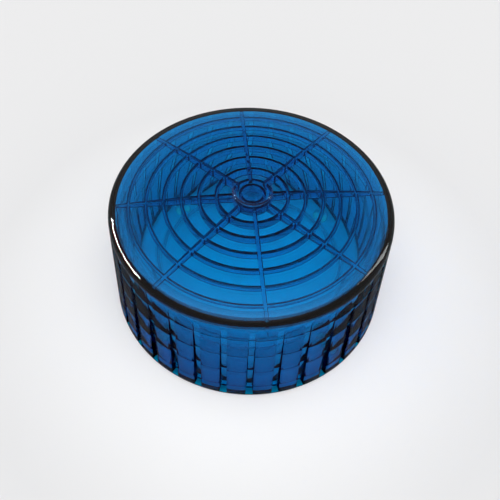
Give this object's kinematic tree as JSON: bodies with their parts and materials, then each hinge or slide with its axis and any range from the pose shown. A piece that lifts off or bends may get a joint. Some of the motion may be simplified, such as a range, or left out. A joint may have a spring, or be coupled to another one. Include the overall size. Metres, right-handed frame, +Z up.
{
  "type": "pill crusher",
  "caption": "Press-and-twist pill crusher: fluted see-through blue cap with a ribbed crushing face over a clear grooved dish and a pill store with a hinged lid.",
  "frame": {"origin": "centre of the round face it stands on, at the level of the foot pads' lower faces", "axes": "+Z up along the turning axis; -Y is the front; the lid's hinge is at +Y"},
  "size_m": [0.0752, 0.0752, 0.0358],
  "materials": {
    "blue_cap": "transparent blue moulded plastic, polished",
    "bush_plastic": "clear low-friction plastic",
    "slip_plastic": "clear low-friction plastic",
    "clear_dish": "colourless moulded plastic, polished",
    "washer_plastic": "clear low-friction plastic",
    "seal_silicone": "translucent silicone",
    "clear_drum": "colourless moulded plastic, polished",
    "clear_lid": "colourless moulded plastic, polished",
    "pin_steel": "drawn wire",
    "lid_silicone": "translucent silicone",
    "foot_silicone": "translucent silicone, matte"
  },
  "bodies": {
    "drum": {"storage_drum": "clear_drum", "lid_hinge_pin": "pin_steel", "lid_seal": "lid_silicone", "foot_pads": "foot_silicone"},
    "dish": {"crush_dish": "clear_dish", "thrust_washer": "washer_plastic", "dish_seal": "seal_silicone"},
    "slip": {"slip_ring": "slip_plastic"},
    "cap": {"turning_cap": "blue_cap", "centre_bush": "bush_plastic"},
    "lid": {"storage_lid": "clear_lid"}
  },
  "joints": [
    {"name": "dish_lift", "type": "slide", "parent": "drum", "child": "dish", "axis": [0, 0, 1], "range_m": [0, 0.03]},
    {"name": "cap_lift", "type": "slide", "parent": "dish", "child": "slip", "axis": [0, 0, 1], "range_m": [0, 0.045]},
    {"name": "cap_turn", "type": "hinge", "parent": "slip", "child": "cap", "pos_m": [0, 0, 0.0306], "axis": [0, 0, 1], "continuous": true},
    {"name": "lid_swing", "type": "hinge", "parent": "drum", "child": "lid", "pos_m": [0, 0.0294, 0.002], "axis": [1, 0, 0], "range_deg": [0, 95]}
  ]
}
